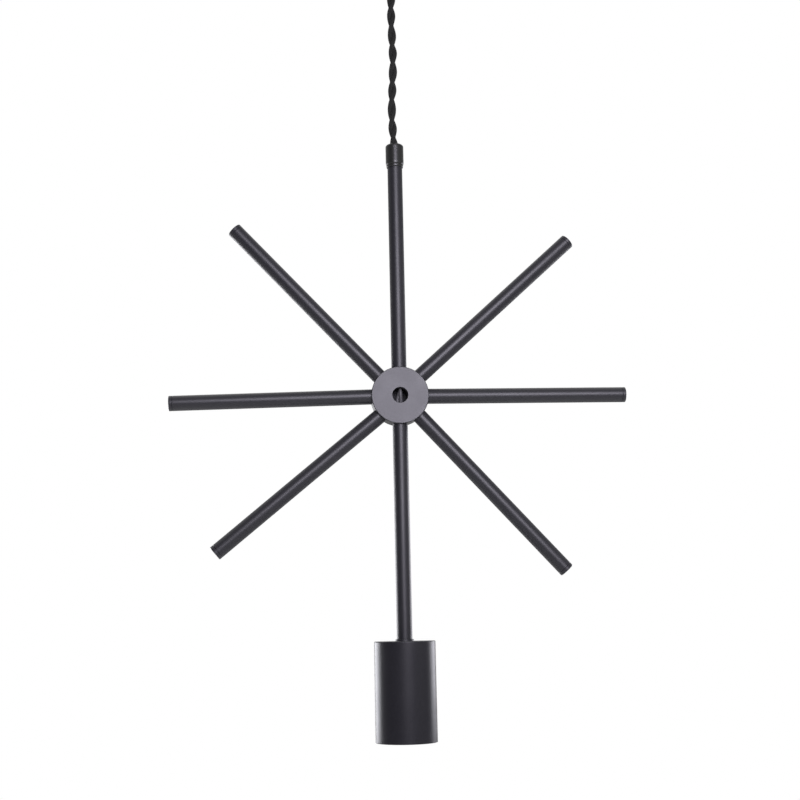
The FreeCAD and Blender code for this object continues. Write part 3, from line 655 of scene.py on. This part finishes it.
# the hub, the gland and the drawn cup took the coat smoother than the tubes, and the canopy duller
gland_coat = powder_coat(
    "fine_black_coat", (0.0110, 0.0112, 0.0106), roughness=0.34, relief=0.000008, shine=0.72)
own_coats = {
    "canopy": powder_coat(
        "dull_black_coat", (0.0150, 0.0148, 0.0180), roughness=0.62, relief=0.000012, shine=0.25),
    "hub": powder_coat(
        "hub_black_coat", (0.0184, 0.0179, 0.0228), roughness=0.362, relief=0.000014, shine=0.5,
        bore=(hub_middle.x, hub_middle.z, 0.0066)),
    "gland_cap": gland_coat,
    "gland_collar": gland_coat,
    "lamp_cup": powder_coat(
        "even_black_coat", (0.0150, 0.0145, 0.0190), roughness=0.34, relief=0.000012, shine=0.47),
}
for piece, slot in ((cord, "cord_cover"), (tail, "cord_cover"), (flex, "core_sheath"),
                    (shell, "nickel_shell"), (skirt, "black_insulator"), (spring, "zinc_steel")):
    piece.data.materials.append(finishes[slot])
for part in frame["record"]["subparts"]:
    for socket in frame["nodes"][part["node"]].material_slots:
        socket.material = own_coats.get(part["node"], finishes[part["material_slot"]])


# ---------------------------------------------------------------- room and light

def lay_floor():
    """A wide round pale floor well below the lamp, which the camera sees nearly white."""
    reach, height, sides = 4.5, -1.9, 120
    glow_share = 0.8            # of a plain white glow, in what the camera sees
    angle = round_angles(sides)
    rim = np.stack([reach * np.cos(angle), reach * np.sin(angle), np.full(sides, height)], axis=1)
    mesh = bpy.data.meshes.new("floor")
    mesh.from_pydata(rim.tolist(), [], [tuple(range(sides))])
    floor = bpy.data.objects.new("floor", mesh)
    bpy.context.scene.collection.objects.link(floor)
    material, tree, shader = new_finish("pale_floor", (0.82, 0.82, 0.82), 0.0, 0.9)
    cloud = noise(tree, 6.0, detail=3.0)
    shade = tint(tree, cloud, (0.80, 0.80, 0.80), (0.84, 0.84, 0.84))
    tree.links.new(shade, shader.inputs["Base Color"])
    glow = tree.nodes.new("ShaderNodeEmission")
    rays = tree.nodes.new("ShaderNodeLightPath")
    mix = tree.nodes.new("ShaderNodeMixShader")
    seen = calc(tree, "MULTIPLY", rays.outputs["Is Camera Ray"], glow_share)
    tree.links.new(seen, mix.inputs["Fac"])
    tree.links.new(shader.outputs["BSDF"], mix.inputs[1])
    tree.links.new(glow.outputs["Emission"], mix.inputs[2])
    tree.links.new(mix.outputs["Shader"], tree.nodes["Material Output"].inputs["Surface"])
    mesh.materials.append(material)


def fill_room():
    """Light from all round: a grey room, lighter above, with a white backdrop behind the star.

    The walls' level goes by how far a direction points to the back, from 0 in front of the star's
    face to 1 behind it. Below the horizon the room is dark. The camera sees white on every side,
    and metal, gloss and glass show the backdrop white too.
    """
    wall_levels = ((0.0, 0.12), (0.33, 0.13), (0.42, 0.18), (0.52, 0.30), (0.75, 0.33),
                   (0.95, 0.70))
    world = bpy.data.worlds.new("room")
    bpy.context.scene.world = world
    world.use_nodes = True
    tree = world.node_tree
    tree.nodes.clear()
    direction = axis_parts(tree, tree.nodes.new("ShaderNodeTexCoord").outputs["Generated"])
    walls = tree.nodes.new("ShaderNodeValToRGB")
    tree.links.new(spread(tree, direction["Y"], 0.0, 1.0, start=-1.0, end=1.0), walls.inputs["Fac"])
    while len(walls.color_ramp.elements) < len(wall_levels):
        walls.color_ramp.elements.new(0.5)
    for element, (position, level) in zip(walls.color_ramp.elements, wall_levels):
        element.position = position
        element.color = (level, level, level, 1.0)
    above_floor = spread(tree, direction["Z"], 0.03, 1.0, start=-0.15, end=-0.07)
    ceiling = spread(tree, direction["Z"], 0.0, 2.5, start=0.45, end=0.9)
    room = tree.nodes.new("ShaderNodeBackground")
    tree.links.new(walls.outputs["Color"], room.inputs["Color"])
    tree.links.new(calc(tree, "ADD", above_floor, ceiling), room.inputs["Strength"])
    white = tree.nodes.new("ShaderNodeBackground")
    white.inputs["Color"].default_value = (1.0, 1.0, 1.0, 1.0)
    behind = spread(tree, direction["Y"], 0.0, 1.0, start=0.90, end=0.98)
    backdrop = calc(tree, "MULTIPLY", behind, above_floor)
    rays = tree.nodes.new("ShaderNodeLightPath").outputs
    mirrored = calc(tree, "MULTIPLY", rays["Is Glossy Ray"], backdrop)
    seen = calc(tree, "MAXIMUM", rays["Is Camera Ray"], rays["Is Transmission Ray"])
    mix = tree.nodes.new("ShaderNodeMixShader")
    tree.links.new(calc(tree, "MAXIMUM", seen, mirrored), mix.inputs["Fac"])
    tree.links.new(room.outputs["Background"], mix.inputs[1])
    tree.links.new(white.outputs["Background"], mix.inputs[2])
    out = tree.nodes.new("ShaderNodeOutputWorld")
    tree.links.new(mix.outputs["Shader"], out.inputs["Surface"])


def hang_panel(name, azimuth, elevation, distance, width, height, level, colour):
    """A soft panel that looks at the hub, and that the camera doesn't see.

    It hangs so many degrees right of the star's face and above level, and its power grows with its
    area, so that a panel of one level is equally bright at any size.
    """
    power = 4.0                 # watts a square metre at level 1
    data = bpy.data.lights.new(name, "AREA")
    data.shape = "RECTANGLE"
    data.size, data.size_y = width, height
    data.energy = power * width * height * level
    data.color = colour
    panel = bpy.data.objects.new(name, data)
    bpy.context.scene.collection.objects.link(panel)
    a, e = math.radians(azimuth), math.radians(elevation)
    away = Vector((math.sin(a) * math.cos(e), -math.cos(a) * math.cos(e), math.sin(e)))
    panel.rotation_euler = away.to_track_quat("Z", "Y").to_euler()
    panel.location = hub_middle + distance * away
    panel.visible_camera = False


lay_floor()
fill_room()
cool, pale, neutral = (0.905, 0.87, 1.0), (0.94, 0.94, 1.0), (1.0, 1.0, 1.0)
hang_panel("front_softbox", 8.0, 13.0, distance=1.2, width=0.66, height=0.5, level=9.7, colour=cool)
hang_panel("left_back_panel", -134.0, -4.0, distance=2.2, width=1.6, height=0.75, level=5.0,
           colour=pale)
hang_panel("right_back_panel", 123.0, -1.0, distance=2.2, width=1.35, height=0.6, level=5.2,
           colour=(0.93, 0.92, 1.0))
hang_panel("right_fill", 55.0, 8.0, distance=2.2, width=1.6, height=1.4, level=0.35,
           colour=neutral)
hang_panel("low_fill", 5.0, -58.0, distance=2.0, width=2.4, height=1.4, level=0.25,
           colour=neutral)

bpy.context.scene.view_settings.view_transform = "Standard"
